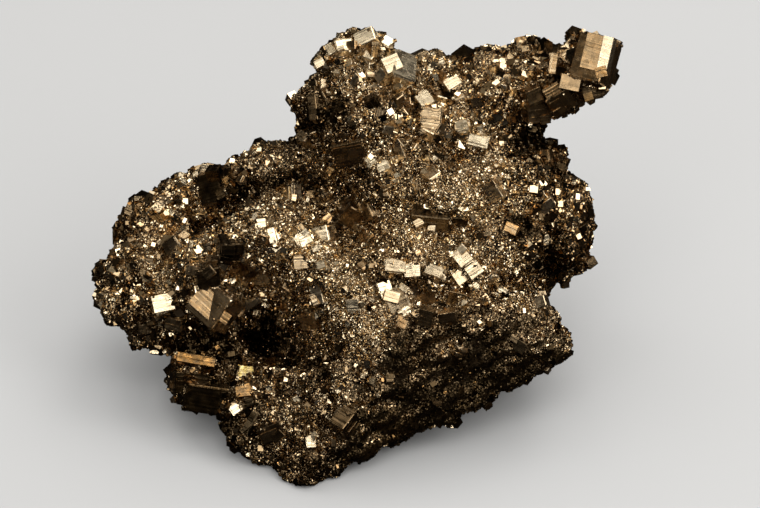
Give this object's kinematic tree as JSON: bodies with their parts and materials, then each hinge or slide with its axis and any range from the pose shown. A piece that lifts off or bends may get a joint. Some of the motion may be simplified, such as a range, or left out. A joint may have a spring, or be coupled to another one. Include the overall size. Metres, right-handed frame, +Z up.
{
  "type": "pyrite specimen",
  "caption": "Free-standing cluster of intergrown metallic cube crystals with an overhanging arm, on a broken block of massive ore with a flat sawn base.",
  "frame": {"origin": "on the flat sawn base, near its middle", "axes": "+Z up from the base, +X along the longest side towards the tip of the arm, -Y towards the viewer of the display face"},
  "size_m": [0.1078, 0.0815, 0.0741],
  "materials": {
    "pyrite": "metallic"
  },
  "bodies": {
    "root": {"pyrite_cluster": "pyrite"}
  },
  "joints": []
}
